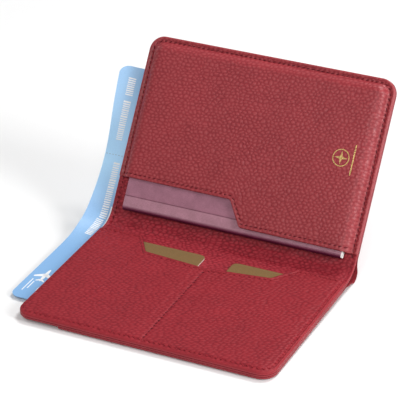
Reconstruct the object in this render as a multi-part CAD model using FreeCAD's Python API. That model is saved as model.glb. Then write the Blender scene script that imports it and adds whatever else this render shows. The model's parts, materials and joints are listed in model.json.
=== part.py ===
import FreeCAD, Part
import math
import os

# Passport holder wallet: a leather bifold that opens along its long edge.
# Lengths are millimetres. X runs along the fold, +Z is up, and at rest the card side
# lies on the table with the passport side leaning back.
#
# Each side is first drawn flat: x from the left edge to the right edge, y from the fold
# line of that side (0) to its free edge, z above the inner facing leather (outside is
# negative). The spine strip is drawn with y = 0 along its middle.

# ---- driving dimensions ----
width = 140.0                # along the fold
panel_length = 95.4          # from a fold line to the free edge
spine_width = 12.0           # between the two fold lines
opening_turn = 55.6          # how far the passport side is turned up from lying flat, degrees
corner_radius = 8.0
fold_gap = 0.02              # between the ends of two panels at a fold line

# leather and board, from the inside out
facing = 0.8
board = 0.5
shell = 0.7
slip_gap = 0.6               # between the shell and the outer slip pocket
slip_leather = 0.9
turned_edge = 3.0            # leather turned in and stitched round each panel
slip_left = 24.8             # the slip pocket's open edge, from the left edge
bulge_front = (-4.4, 7.1)    # the loose leather behind the spine: front of its sole, y and depth
bulge_back = (3.2, 9.9)      # and the back of its sole

# card side
card_leather = 0.9
card_lining = 0.25
card_room = 0.95             # height of the room for a card under the lining
card_rim = 2.3               # stitched margin of the card pocket
seam_x = 70.2
seam_half = 0.8
seam_mouth = 20.2            # where the pocket's mouth meets the seam, from the fold line
card_size = (54.0, 85.6, 0.76)
card_radius = 3.2
card_lefts = (10.4, 80.0)
card_top = 7.35              # from the fold line to a card's exposed edge

# passport side
passport_size = (125.0, 88.0, 3.8)
passport_left = 7.5
passport_start = 0.25        # from the fold line to the passport's lower edge
cover = 0.4
page_inset = 1.2
pocket_leather = 1.0
pocket_lining = 0.3
pocket_room = 4.4            # height of the room under the lining
pocket_foot = 3.8            # inner foot of the pocket wall, from the panel's edge
pocket_slope = 2.4           # how far the wall leans in as it rises
right_extra_slope = 1.2      # and how much further it leans at the right

# boarding pass in the outer slip pocket
pass_left = -13.0
pass_width = 82.5
pass_lower_length = 78.2
pass_upper_length = 77.6
pass_paper = 0.3
pass_radius = 5.0

# stitching
thread = 0.5
thread_rise = 0.15
card_stitch_inset = 2.2
passport_stitch_inset = 2.4
hem_inset = 2.0

# foil mark: a plain compass star in a ring, with a bar beside it
mark_x = 121.2
mark_y = 50.6
mark_radius = 4.6
foil = 0.06

V = FreeCAD.Vector
nodes = {}
half_turn = math.radians(opening_turn / 2)
fold_to_corner = spine_width / 2 / math.cos(half_turn)
shell_inside = -facing - board
shell_outside = shell_inside - shell
slip_inside = shell_outside - slip_gap
slip_outside = slip_inside - slip_leather


def rounded_face(corners, z=0.0):
    """A flat face from (x, y, radius) corners in order."""
    count = len(corners)
    joints = []
    for i, (x, y, radius) in enumerate(corners):
        here = V(x, y, z)
        before = V(corners[i - 1][0], corners[i - 1][1], z)
        after = V(corners[(i + 1) % count][0], corners[(i + 1) % count][1], z)
        if radius == 0:
            joints.append((here, None, here))
            continue
        back = (before - here).normalize()
        ahead = (after - here).normalize()
        half = back.getAngle(ahead) / 2
        reach = radius / math.tan(half)
        middle = here + (back + ahead).normalize() * (radius / math.sin(half) - radius)
        joints.append((here + back * reach, middle, here + ahead * reach))
    edges = []
    for i, (start, middle, end) in enumerate(joints):
        if middle is not None:
            edges.append(Part.Arc(start, middle, end).toShape())
        following = joints[(i + 1) % count][0]
        if end.distanceToPoint(following) > 1e-6:
            edges.append(Part.makeLine(end, following))
    return Part.Face(Part.Wire(edges))


def prism(face, bottom, top):
    lifted = face.copy()
    lifted.translate(V(0, 0, bottom))
    return lifted.extrude(V(0, 0, top - bottom))


def box(x0, x1, y0, y1, z0, z1):
    return Part.makeBox(x1 - x0, y1 - y0, z1 - z0, V(x0, y0, z0))


def panel_face(inset=0.0, fold=fold_gap):
    """The outline of one side, square at the fold and rounded at its free corners."""
    radius = corner_radius - inset
    far = panel_length - inset
    return rounded_face([(inset, fold, 0), (width - inset, fold, 0),
                         (width - inset, far, radius), (inset, far, radius)])


def ring(face, outer, inner):
    """A band along the inside of an outline, between two insets."""
    wide = face.makeOffset2D(-outer) if outer else face
    return wide.cut(face.makeOffset2D(-inner))


def one_solid(shape):
    solids = shape.removeSplitter().Solids
    return solids[0] if len(solids) == 1 else Part.makeCompound(solids)


# ---- the layers that both sides share ----
def facing_leather():
    return prism(panel_face(), -facing, 0)


def stiffener_board():
    return prism(panel_face(turned_edge, turned_edge), shell_inside, -facing)


def outer_shell():
    """Outer leather with its edges turned in over the board."""
    tray = prism(panel_face(), shell_outside, -facing)
    return tray.cut(prism(panel_face(turned_edge, turned_edge), shell_inside, 0))


def slip_pocket():
    """Outer slip pocket: open at the left and at the fold, stitched on the other edges."""
    cover_plate = prism(panel_face(), slip_outside, shell_outside)
    room = box(0, width - turned_edge, -1, panel_length - turned_edge, slip_inside, 1)
    pocket = cover_plate.cut(room)
    return pocket.cut(box(-1, slip_left, -1, width, slip_outside - 1, 1))


def edge_thread(mouth, inset, height):
    """Stitch line round a side: on the pocket past its mouth and on the facing before it."""
    half = thread / 2
    band = ring(panel_face(0, -corner_radius), inset - half, inset + half)
    beyond = band.common(mouth)
    on_facing = band.cut(mouth).common(panel_face())
    solids = []
    for part, level in ((beyond, height), (on_facing, 0.0)):
        for face in part.Faces:
            solids.append(prism(face, level, level + thread_rise))
    return Part.makeCompound(solids)


def hem_thread(mouth, margin, deepest, height):
    """Stitch line just inside the mouth of a pocket."""
    half = thread / 2
    band = ring(mouth, hem_inset - half, hem_inset + half)
    window = rounded_face([(margin, -1, 0), (width - margin, -1, 0),
                           (width - margin, deepest, 0), (margin, deepest, 0)])
    kept = band.common(window)
    return Part.makeCompound([prism(face, height, height + thread_rise) for face in kept.Faces])


# ---- card side ----
def card_mouth():
    """Outline of the card pocket, with a finger notch cut over each card."""
    far = panel_length
    return rounded_face([
        (0, 3.4, 0), (24.8, 3.0, 1.2), (34.2, 17.5, 2.0), (seam_x, seam_mouth, 0),
        (104.2, 15.4, 2.0), (113.8, 1.6, 1.2), (width, 2.0, 0),
        (width, far, corner_radius), (0, far, corner_radius)])


def card_rooms():
    """The two spaces that the cards slide into."""
    far = panel_length - card_rim
    return [(card_rim, seam_x - seam_half, -1, far),
            (seam_x + seam_half, width - card_rim, -1, far)]


def card_pocket():
    ceiling = card_room + card_lining
    pocket = prism(card_mouth(), 0, ceiling + card_leather)
    for x0, x1, y0, y1 in card_rooms():
        pocket = pocket.cut(box(x0, x1, y0, y1, -1, ceiling))
    return pocket


def card_pocket_lining():
    ceiling = card_room + card_lining
    lining = prism(card_mouth(), card_room, ceiling)
    rooms = [lining.common(box(x0, x1, y0, y1, 0, ceiling)) for x0, x1, y0, y1 in card_rooms()]
    return Part.makeCompound([solid for room in rooms for solid in room.Solids])


def card_seam_thread():
    top = card_room + card_lining + card_leather
    start = seam_mouth + hem_inset + thread
    return box(seam_x - thread / 2, seam_x + thread / 2, start,
               panel_length - card_stitch_inset - thread, top, top + thread_rise)


def card(left):
    long_x, long_y, thick = card_size
    r = card_radius
    face = rounded_face([(left, card_top, r), (left + long_x, card_top, r),
                         (left + long_x, card_top + long_y, r), (left, card_top + long_y, r)])
    return prism(face, 0.1, 0.1 + thick)


# ---- passport side ----
def passport_mouth():
    """Outline of the passport pocket, cut back on the left half for the thumb."""
    far = panel_length
    return rounded_face([
        (0, 17.6, 0), (66.8, 17.6, 2.4), (75.2, 4.2, 2.4), (width, 3.9, 0),
        (width, far, corner_radius), (0, far, corner_radius)])


def puffed_room(wall, height):
    """The raised room of the passport pocket, grown outward by the wall."""
    left = pocket_foot - wall
    right = width - pocket_foot + wall
    far = panel_length - pocket_foot + wall
    lean = pocket_slope
    right_lean = lean + right_extra_slope
    radius = 4.0 + wall
    low = rounded_face([(left, -5, 0), (right, -5, 0), (right, far, radius), (left, far, radius)])
    high = rounded_face([(left + lean, -5, 0), (right - right_lean, -5, 0),
                         (right - right_lean, far - lean, radius), (left + lean, far - lean, radius)],
                        height)
    return Part.makeLoft([low.OuterWire, high.OuterWire], True, True)


def passport_pocket():
    ceiling = pocket_room + pocket_lining
    flange = prism(panel_face(), 0, pocket_leather)
    raised = flange.fuse(puffed_room(0.9, ceiling + pocket_leather))
    hollow = raised.cut(puffed_room(0.0, ceiling))
    return hollow.common(prism(passport_mouth(), 0, 2 * ceiling))


def passport_pocket_lining():
    margin = pocket_foot + pocket_slope + 0.3
    right = width - margin - right_extra_slope
    far = panel_length - margin
    face = rounded_face([(margin, 0, 0), (right, 0, 0), (right, far, 4.5), (margin, far, 4.5)])
    lining = prism(face, pocket_room, pocket_room + pocket_lining)
    return lining.common(prism(passport_mouth(), 0, 2 * pocket_room))


def passport_outline(inset, start):
    x0 = passport_left
    x1 = passport_left + passport_size[0] - inset
    y1 = passport_start + passport_size[1] - inset
    left = x0 + inset
    return rounded_face([(left, start, 0), (x1, start, 0), (x1, y1, 3.0), (left, y1, 3.0)])


def passport_cover():
    """Cover wrapped round the pages, with a shallow groove beside its spine."""
    base = 0.15
    whole = prism(passport_outline(0, passport_start), base, base + passport_size[2])
    inside = prism(passport_outline(-1, passport_start + cover), base + cover,
                   base + passport_size[2] - cover)
    groove_y = passport_start + 7.4
    groove = box(0, width, groove_y, groove_y + 0.8, base + passport_size[2] - 0.15, 10)
    return whole.cut(inside).cut(groove)


def passport_pages():
    base = 0.15 + cover
    return prism(passport_outline(page_inset, passport_start + cover), base,
                 base + passport_size[2] - 2 * cover)


def foil_emblem():
    """A ring, a four-pointed star inside it and a bar beside it."""
    level = pocket_room + pocket_lining + pocket_leather
    rim = Part.makeCylinder(mark_radius, foil, V(mark_x, mark_y, level))
    rim = rim.cut(Part.makeCylinder(mark_radius - 0.5, foil, V(mark_x, mark_y, level)))
    points = []
    for i in range(8):
        reach = 3.6 if i % 2 == 0 else 1.0
        angle = i * math.pi / 4
        points.append((mark_x + reach * math.cos(angle), mark_y + reach * math.sin(angle), 0))
    star = prism(rounded_face(points), level, level + foil)
    bar_x = mark_x + mark_radius + 1.8
    bar = box(bar_x, bar_x + 0.6, mark_y - 8, mark_y + 8, level, level + foil)
    return Part.makeCompound([rim, star, bar])


# ---- spine ----
def spine_facing():
    half = spine_width / 2 - fold_gap
    return box(0, width, -half, half, -facing, 0)


def spine_shell():
    half = spine_width / 2 - fold_gap
    return box(0, width, -half, half, -facing - shell, -facing)


def bulge_region(inset):
    """Section of the loose leather behind the spine, in y and depth."""
    side = spine_width / 2 - 0.2 - inset
    top = -slip_inside if inset == 0 else 1.0
    neck = -slip_outside + 0.5
    front_y, front_depth = bulge_front
    back_y, back_depth = bulge_back
    front = V(0, front_y + inset / 2, inset - front_depth)
    back = V(0, back_y - inset / 2, inset - back_depth)
    front_neck = V(0, -side, -neck)
    back_neck = V(0, side, -neck)
    front_belly = (front + front_neck) / 2 + V(0, -0.9, -0.6)
    back_belly = (back + back_neck) / 2 + V(0, 1.1, -0.6)
    sole = (front + back) / 2 + V(0, 0, -0.5)
    edges = [Part.makeLine(V(0, -side, -top), front_neck),
             Part.Arc(front_neck, front_belly, front).toShape(),
             Part.Arc(front, sole, back).toShape(),
             Part.Arc(back, back_belly, back_neck).toShape(),
             Part.makeLine(back_neck, V(0, side, -top)),
             Part.makeLine(V(0, side, -top), V(0, -side, -top))]
    return Part.Face(Part.Wire(edges))


def spine_slip_pocket():
    """The slip pocket's leather where it hangs loose behind the spine."""
    length = width - slip_left
    outside = bulge_region(0).extrude(V(length, 0, 0))
    inside = bulge_region(slip_leather).extrude(V(length + 2, 0, 0))
    inside.translate(V(-1, 0, 0))
    bulge = outside.cut(inside)
    bulge.translate(V(slip_left, 0, 0))
    return bulge


# ---- boarding pass ----
def pass_panel(length):
    right = pass_left + pass_width
    face = rounded_face([(pass_left, fold_gap, 0), (right, fold_gap, 0),
                         (right, length, pass_radius), (pass_left, length, pass_radius)])
    middle = (shell_outside + slip_inside) / 2
    return prism(face, middle - pass_paper / 2, middle + pass_paper / 2)


def pass_spine():
    half = spine_width / 2 - fold_gap
    middle = (shell_outside + slip_inside) / 2
    return box(pass_left, pass_left + pass_width, -half, half,
               middle - pass_paper / 2, middle + pass_paper / 2)


# ---- assembly ----
lower = {
    "lower_facing": facing_leather(),
    "lower_stiffener": stiffener_board(),
    "lower_outer_shell": outer_shell(),
    "lower_slip_pocket": slip_pocket(),
    "card_pocket": card_pocket(),
    "card_pocket_lining": card_pocket_lining(),
    "card_pocket_seam_thread": card_seam_thread(),
    "card_pocket_mouth_thread": hem_thread(card_mouth(), card_rim + thread, 23.0,
                                           card_room + card_lining + card_leather),
    "lower_edge_thread": edge_thread(card_mouth(), card_stitch_inset,
                                     card_room + card_lining + card_leather),
    "card_left": card(card_lefts[0]),
    "card_right": card(card_lefts[1]),
    "pass_lower": pass_panel(pass_lower_length),
}
spine = {
    "spine_facing": spine_facing(),
    "spine_shell": spine_shell(),
    "spine_slip_pocket": spine_slip_pocket(),
    "pass_spine": pass_spine(),
}
upper = {
    "upper_facing": facing_leather(),
    "upper_stiffener": stiffener_board(),
    "upper_outer_shell": outer_shell(),
    "upper_slip_pocket": slip_pocket(),
    "passport_pocket": passport_pocket(),
    "passport_pocket_lining": passport_pocket_lining(),
    "passport_pocket_mouth_thread": hem_thread(
        passport_mouth(), 8.0, 21.0, pocket_room + pocket_lining + pocket_leather),
    "upper_edge_thread": edge_thread(passport_mouth(), passport_stitch_inset, pocket_leather),
    "foil_emblem": foil_emblem(),
    "passport_cover": passport_cover(),
    "passport_pages": passport_pages(),
    "pass_upper": pass_panel(pass_upper_length),
}


def stand(shape, turn, along, up):
    """Turn a flat shape about the fold direction and move its fold line into place."""
    placed = shape.copy()
    placed.translate(V(-width / 2, 0, 0))
    placed.rotate(V(0, 0, 0), V(1, 0, 0), math.degrees(turn))
    placed.translate(V(0, along, up))
    return placed


def assemble(tilt):
    """Every node at rest, with the corner where the two facings would meet at y = z = 0."""
    placed = {}
    for name, shape in lower.items():
        facing_front = shape.mirror(V(0, 0, 0), V(0, 1, 0))
        placed[name] = stand(facing_front, tilt, -fold_to_corner * math.cos(tilt),
                             -fold_to_corner * math.sin(tilt))
    middle = fold_to_corner * math.sin(half_turn)
    lean = tilt + half_turn
    for name, shape in spine.items():
        placed[name] = stand(shape, lean, -middle * math.sin(lean), middle * math.cos(lean))
    lean = tilt + 2 * half_turn
    for name, shape in upper.items():
        placed[name] = stand(shape, lean, fold_to_corner * math.cos(lean),
                             fold_to_corner * math.sin(lean))
    return placed


# The wallet rests on the front edge of its card side and on the leather behind the spine,
# so the card side is tilted until both are equally low.
tilt = 0.0
for _ in range(6):
    nodes = assemble(tilt)
    front_low = nodes["lower_slip_pocket"].optimalBoundingBox(False).ZMin
    spine_low = nodes["spine_slip_pocket"].optimalBoundingBox(False).ZMin
    tilt += math.atan((front_low - spine_low) / panel_length)

nodes = assemble(tilt)
everything = Part.makeCompound(list(nodes.values())).optimalBoundingBox(False)
shift = V(-(everything.XMin + everything.XMax) / 2, -(everything.YMin + everything.YMax) / 2,
          -everything.ZMin)

os.makedirs("parts", exist_ok=True)
for name, shape in nodes.items():
    shape.translate(shift)
    solid = one_solid(shape)
    solid.exportStep("parts/" + name + ".step")

lower_fold = V(shift.x, shift.y - fold_to_corner * math.cos(tilt),
               shift.z - fold_to_corner * math.sin(tilt))
lean = tilt + 2 * half_turn
upper_fold = V(shift.x, shift.y + fold_to_corner * math.cos(lean),
               shift.z + fold_to_corner * math.sin(lean))
print("tilt", round(math.degrees(tilt), 4), "corner", shift)
print("fold lines", lower_fold, upper_fold)
print("size", everything.XLength, everything.YLength, everything.ZLength)
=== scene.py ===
import json
import math

import bpy
import numpy as np
from mathutils import Matrix, Vector


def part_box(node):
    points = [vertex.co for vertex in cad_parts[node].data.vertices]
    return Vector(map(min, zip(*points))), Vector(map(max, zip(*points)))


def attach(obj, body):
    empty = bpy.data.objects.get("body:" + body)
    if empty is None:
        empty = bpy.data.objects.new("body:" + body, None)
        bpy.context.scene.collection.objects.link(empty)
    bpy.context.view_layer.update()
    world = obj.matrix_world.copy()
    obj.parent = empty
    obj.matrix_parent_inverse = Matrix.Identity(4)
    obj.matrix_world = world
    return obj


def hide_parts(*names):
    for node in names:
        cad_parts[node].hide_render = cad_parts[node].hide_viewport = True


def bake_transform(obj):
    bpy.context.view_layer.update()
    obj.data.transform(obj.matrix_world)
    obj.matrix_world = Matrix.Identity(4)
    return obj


# Passport holder wallet: red pebbled leather, a passport, two cards and a boarding pass.
# Flat sizes are millimetres, drawn on a side that lies open: x from the left edge, y from
# the fold line to the free edge (negative y is the curve of the spine), h above the facing.

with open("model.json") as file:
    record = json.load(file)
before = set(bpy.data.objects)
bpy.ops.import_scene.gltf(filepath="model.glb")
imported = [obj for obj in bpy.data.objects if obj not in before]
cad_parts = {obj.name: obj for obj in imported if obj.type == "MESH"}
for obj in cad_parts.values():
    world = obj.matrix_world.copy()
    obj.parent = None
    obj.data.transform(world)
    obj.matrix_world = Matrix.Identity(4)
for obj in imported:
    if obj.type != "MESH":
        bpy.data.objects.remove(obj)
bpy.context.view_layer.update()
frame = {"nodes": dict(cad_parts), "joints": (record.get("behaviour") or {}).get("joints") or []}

MM = 0.001

# ---- sizes, as the CAD part has them ----
WIDTH = 140.0
LENGTH = 95.4
CORNER = 8.0
TURN = math.radians(27.8)            # half of the angle between the two open sides
FOLD_TO_CORNER = 6.783
SPINE_RADIUS = FOLD_TO_CORNER / math.tan(TURN)
HALF_SPINE = SPINE_RADIUS * TURN
HALF_STRIP = 6.0
FACING = 0.8
SHELL_TOP = -0.82
BOARD_BOTTOM = -1.32
SHELL_OUTSIDE = -2.0
SPINE_SHELL_OUTSIDE = -1.5
SLIP_INSIDE = -2.6
SLIP_MIDDLE = -3.05
SLIP_OUTSIDE = -3.5
SLIP_LEFT = 24.8
TURNED_EDGE = 3.0
CARD_TOP = 2.1
CARD_CEILING = 1.22
CARD_RIM = 2.3
CARD_STITCH = 2.2
CARD_SIZE = (54.0, 85.6)
CARD_LEFTS = (10.4, 80.0)
CARD_START = 7.35
CARD_LEVELS = (0.1, 0.86)
CARD_CORNER = 3.18
SEAM_X = 70.2
SEAM_START = 20.2
PUFF_TOP = 5.7
PUFF_LEATHER = 0.98
PUFF_FOOT = 2.9
PUFF_SLOPE = 5.2                     # width of its sloping side, and how much gentler the
PUFF_EASE = (0.75, 0.8, 0.9)         # slope is at the left, the right and the top
FLANGE = 1.0
LINING = 0.28
PASSPORT_STITCH = 2.4
HEM = 2.0
PASSPORT_LEFT = 7.5
PASSPORT_RIGHT = 132.5
PASSPORT_START = 0.25
PASSPORT_END = 88.25
PASSPORT_LEVELS = (0.15, 3.95)
COVER = 0.4
COVER_RADIUS = 1.6                   # bend of the cover at the edges of its spine
COVER_STRAIGHT = 0.1                 # flat half of its spine
COVER_BEND = COVER_STRAIGHT + COVER_RADIUS * math.pi / 2
PASSPORT_GROOVE = 7.8
PASS_LEVEL = -2.3
PASS_HALF = 0.15
PASS_LEFT = -13.0
PASS_RIGHT = 69.5
PASS_CORNER = 5.0
PASS_BAND = 7.5                      # where the pass's coloured band ends
MARK = (121.2, 50.6)
MARK_RADIUS = 4.6
GRID = 0.44                          # spacing of the detailed meshes

CARD_MOUTH = [(0, 3.4, 0), (24.8, 3.0, 1.2), (34.2, 17.5, 2.0), (SEAM_X, SEAM_START, 0),
              (104.2, 15.4, 2.0), (113.8, 1.6, 1.2), (WIDTH, 2.0, 0)]
PASSPORT_MOUTH = [(0, 17.6, 0), (66.8, 17.6, 2.4), (75.2, 4.2, 2.4), (WIDTH, 3.9, 0)]


# ---- where flat points go, from the frame ----
def joint(name):
    return next(j for j in frame["joints"] if j["name"] == name)


ACROSS = np.array([1.0, 0.0, 0.0])
FOLD_A = np.array(joint("spine_fold")["pos_m"])
FOLD_B = np.array(joint("cover_fold")["pos_m"])
LEFT_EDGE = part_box("lower_facing")[0].x
SPINE_MIDDLE = (FOLD_A + FOLD_B) / 2
SPINE_ALONG = (FOLD_B - FOLD_A) / np.linalg.norm(FOLD_B - FOLD_A)
SPINE_UP = np.cross(ACROSS, SPINE_ALONG)
ARC_CENTRE = SPINE_MIDDLE + SPINE_UP * SPINE_RADIUS * math.cos(TURN) * MM


def strip_point(along, depth):
    """Points given along the spine strip and below it, in mm."""
    return (SPINE_MIDDLE + np.multiply.outer(np.asarray(along) * MM, SPINE_ALONG)
            - np.multiply.outer(np.asarray(depth) * MM, SPINE_UP))


class Side:
    """One side of the wallet: the place of flat points on it, and how it bends at the spine."""

    def __init__(self, label, body, origin, along, up, sign):
        self.label = label
        self.body = body
        self.origin = origin
        self.along = along
        self.up = up
        self.sign = sign

    def place(self, x, y, h):
        """On the panel for y from 0 up, and on the curve of the spine for y below 0."""
        x, y, h = np.broadcast_arrays(x, y, h)
        flat = (self.origin + np.multiply.outer(y * MM, self.along)
                + np.multiply.outer(h * MM, self.up))
        angle = self.sign * (HALF_SPINE + np.minimum(y, 0)) / SPINE_RADIUS
        reach = (SPINE_RADIUS - h) * MM
        curved = (ARC_CENTRE + (reach * np.sin(angle))[..., None] * SPINE_ALONG
                  - (reach * np.cos(angle))[..., None] * SPINE_UP)
        point = np.where((y >= 0)[..., None], flat, curved)
        point[..., 0] = LEFT_EDGE + x * MM
        return point

    def blend(self, piece, panel_body, spine_body, start, end):
        """Bake the piece's place into its mesh; it is not blended from one body into another."""
        if self.sign < 0:
            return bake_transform(piece)
        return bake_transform(piece)

    def bend(self, piece, panel_body, spine_body, reach=5.0):
        """Bake a piece that follows the skin over the fold line; it is not blended between bodies.
        """
        return self.blend(piece, panel_body, spine_body,
                          self.place(0.0, reach, 0.0), self.place(0.0, -reach, 0.0))

    def bend_loop(self, piece):
        """Bake a piece of the loose loop behind the spine; it is not blended between bodies."""
        near, far = HALF_STRIP + 0.3, HALF_STRIP + 4.0
        return self.blend(piece, self.body, "spine", strip_point(self.sign * far, 0.0),
                          strip_point(self.sign * near, 0.0))


TO_SPINE = np.array(joint("left_card_slide")["axis"])
UP_PANEL = np.array(joint("passport_slide")["axis"])
lower = Side("lower", "card_side", FOLD_A, -TO_SPINE, np.cross(ACROSS, TO_SPINE), -1)
upper = Side("upper", "passport_side", FOLD_B, UP_PANEL, np.cross(ACROSS, UP_PANEL), 1)

# The slip pocket's leather hangs in a loose pinched loop behind the spine: its middle line,
# along the spine strip and below it, from the lower panel to the upper one.
LOOP = [(-8.2, 2.1), (-6.2, 4.2), (-4.2, 5.6), (-2.6, 6.9), (-1.2, 9.1), (0.8, 10.0),
        (3.2, 9.9), (5.5, 8.2), (6.5, 5.4), (7.8, 3.1), (9.5, 1.5)]
LOOP_TIP = (0.8, 10.0)
LOOP_LEAVES = 6.0                    # where the loop leaves a panel, from the fold line
FLOOR_GAP = 0.05


def loop_line():
    """The loop's middle line as a smooth curve through its points, with its running length."""
    ends = []
    for y in (LOOP_LEAVES + 4, LOOP_LEAVES):
        along = HALF_STRIP + math.cos(TURN) * y - math.sin(TURN) * SLIP_MIDDLE
        depth = -math.sin(TURN) * y - math.cos(TURN) * SLIP_MIDDLE
        ends.append((along, depth))
    knots = np.array([(-a, b) for a, b in ends] + LOOP + ends[::-1])
    points = []
    for i in range(1, len(knots) - 2):
        before, here, there, after = knots[i - 1:i + 3]
        for t in np.linspace(0, 1, 24, endpoint=False):
            turn = 2 * before - 5 * here + 4 * there - after
            twist = 3 * here - before - 3 * there + after
            points.append(here + ((there - before) * t + turn * t ** 2 + twist * t ** 3) / 2)
    points = np.array(points + [knots[-2]])
    steps = np.linalg.norm(np.diff(points, axis=0), axis=1)
    return points, np.concatenate([[0], np.cumsum(steps)])


LOOP_POINTS, LOOP_RUN = loop_line()
TIP_RUN = LOOP_RUN[np.argmin(np.linalg.norm(LOOP_POINTS - np.array(LOOP_TIP), axis=1))]


def loop_length(side):
    """Length of this side's part of the loop, from its panel to the tip."""
    return TIP_RUN if side.sign < 0 else LOOP_RUN[-1] - TIP_RUN


def loop_place(side):
    """A place function for the slip pocket: on the panel, then round the loose loop."""
    tangents = np.gradient(LOOP_POINTS, LOOP_RUN, axis=0)

    def place(x, y, h):
        x, y, h = np.broadcast_arrays(x, y, h)
        run = np.maximum(LOOP_LEAVES - y, 0)
        if side.sign > 0:
            run = LOOP_RUN[-1] - run
        along = np.interp(run, LOOP_RUN, LOOP_POINTS[:, 0])
        depth = np.interp(run, LOOP_RUN, LOOP_POINTS[:, 1])
        ahead = np.interp(run, LOOP_RUN, tangents[:, 0])
        down = np.interp(run, LOOP_RUN, tangents[:, 1])
        size = np.hypot(ahead, down)
        lift = h - SLIP_MIDDLE
        loop = (SPINE_MIDDLE + ((along + lift * down / size) * MM)[..., None] * SPINE_ALONG
                + ((lift * ahead / size - depth) * MM)[..., None] * SPINE_UP)
        loop[..., 2] = np.maximum(loop[..., 2], FLOOR_GAP * MM)
        loop[..., 0] = LEFT_EDGE + x * MM
        return np.where((y >= LOOP_LEAVES)[..., None], side.place(x, y, h), loop)

    return place


# ---- shape functions on flat points ----
def smooth(low, high, value):
    t = np.clip((value - low) / (high - low), 0, 1)
    return t * t * (3 - 2 * t)


def rounded(distance, radius):
    """How far a surface drops at this distance from an edge of that radius."""
    inside = radius - np.clip(distance, 0, radius)
    return radius - np.sqrt(radius ** 2 - inside ** 2)


def groove(distance, half):
    """1 where the distance is 0, falling softly away on both sides."""
    return np.exp(-(distance / half) ** 2)


def corner_distance(dx, dy, radius):
    """Distance inward from a corner of that radius, dx and dy from its two edges."""
    away = np.hypot(np.maximum(radius - dx, 0), np.maximum(radius - dy, 0))
    near = (dx < radius) & (dy < radius)
    return np.where(near, radius - away, np.minimum(dx, dy))


def panel_edge(x, y):
    """Distance inward from a panel's left, right or free edge."""
    return corner_distance(np.minimum(x, WIDTH - x), LENGTH - y, CORNER)


def filleted(corners):
    """A line through (x, y, radius) corners, with its corners rounded."""
    points = [corners[0][:2]]
    for before, here, after in zip(corners, corners[1:], corners[2:]):
        middle = Vector(here[:2])
        back = (Vector(before[:2]) - middle).normalized()
        ahead = (Vector(after[:2]) - middle).normalized()
        half = back.angle(ahead) / 2
        if here[2] == 0 or half > 1.5:
            points.append(here[:2])
            continue
        reach = here[2] / math.tan(half)
        start, end = middle + back * reach, middle + ahead * reach
        for t in np.linspace(0, 1, 9):
            points.append((1 - t) ** 2 * start + 2 * t * (1 - t) * middle + t ** 2 * end)
    points.append(corners[-1][:2])
    return np.array([tuple(p) for p in points], float)


def line_distance(x, y, line):
    """Distance from points to a line of straight pieces."""
    best = np.full(np.shape(x), 1e9)
    for start, end in zip(line[:-1], line[1:]):
        step = end - start
        t = ((x - start[0]) * step[0] + (y - start[1]) * step[1]) / (step @ step)
        t = np.clip(t, 0, 1)
        gap = np.hypot(x - start[0] - t * step[0], y - start[1] - t * step[1])
        best = np.minimum(best, gap)
    return best


CARD_LINE = filleted(CARD_MOUTH)
PASSPORT_LINE = filleted(PASSPORT_MOUTH)


def mouth_at(line, x):
    """Where a pocket's mouth is at x."""
    return np.interp(x, line[:, 0], line[:, 1])


def away_from_edges(x, y, line):
    """0 along a pocket's stitched edges and mouth, where its grain is pressed, and 1 inside."""
    return smooth(0.3, 1.5, np.minimum(panel_edge(x, y), line_distance(x, y, line)))


def scatter(u, v, seed):
    """A repeatable number from 0 to 1 for each whole-number cell."""
    return np.modf(np.abs(np.sin(u * 127.1 + v * 311.7 + seed * 74.7) * 43758.5453))[0]


def noise(x, y, size, seed):
    """Smooth noise from 0 to 1 with features of that size."""
    u, v = x / size, y / size
    iu, iv = np.floor(u), np.floor(v)
    fu, fv = smooth(0, 1, u - iu), smooth(0, 1, v - iv)
    near = scatter(iu, iv, seed) * (1 - fu) + scatter(iu + 1, iv, seed) * fu
    far = scatter(iu, iv + 1, seed) * (1 - fu) + scatter(iu + 1, iv + 1, seed) * fu
    return near * (1 - fv) + far * fv


def pebbles(x, y, size, seed, stretch=1.0, lean=0.0):
    """Leather grain from 0 in the creases to 1 on the pebbles."""
    warp = 0.8 * size
    px = x + warp * (noise(x, y, size * 1.7, seed) - 0.5)
    py = y + warp * (noise(x, y, size * 1.7, seed + 5) - 0.5)
    u = (px * math.cos(lean) + py * math.sin(lean)) / (size * stretch)
    v = (py * math.cos(lean) - px * math.sin(lean)) / size
    first = np.full(np.shape(u), 9.0)
    second = np.full(np.shape(u), 9.0)
    for dv in (-1, 0, 1):
        row = np.floor(v) + dv
        along = u - 0.5 * (row % 2)
        for du in (-1, 0, 1):
            cell = np.floor(along) + du
            gap = np.hypot(along - cell - 0.2 - 0.6 * scatter(cell, row, seed),
                           v - row - 0.2 - 0.6 * scatter(cell, row, seed + 9))
            second = np.minimum(second, np.maximum(first, gap))
            first = np.minimum(first, gap)
    crease = smooth(-0.1, 0.6, second - first)
    dome = 1 - 0.8 * np.clip(first, 0, 1) ** 2
    depth = 0.7 + 0.3 * noise(x, y, size * 2.2, seed + 3)
    return 1 - (1 - crease * dome) * depth


# ---- mesh building ----
EDGE_STEPS = np.array([0, 0.07, 0.27, 0.6, 1.05])
NO_STEPS = np.array([0.0])


def spaced(start, end, step):
    """Places from start to end, closer together at both ends."""
    last = EDGE_STEPS[-1] + min(step, 0.45)
    count = max(2, round((end - start - 2 * last) / step) + 1)
    middle = np.linspace(start + last, end - last, count)
    return np.concatenate([start + EDGE_STEPS, middle, end - EDGE_STEPS[::-1]])


def rows(starts, ends, count, near=EDGE_STEPS, far=EDGE_STEPS, shares=None):
    """Row places for each column, close together at the ends that have steps."""
    shares = np.linspace(0, 1, count) if shares is None else shares
    first = starts[:, None] + near
    last = ends[:, None] - far[::-1]
    middle = first[:, -1:] + (last[:, :1] - first[:, -1:]) * shares[1:-1]
    return np.hstack([first, middle, last])


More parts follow.
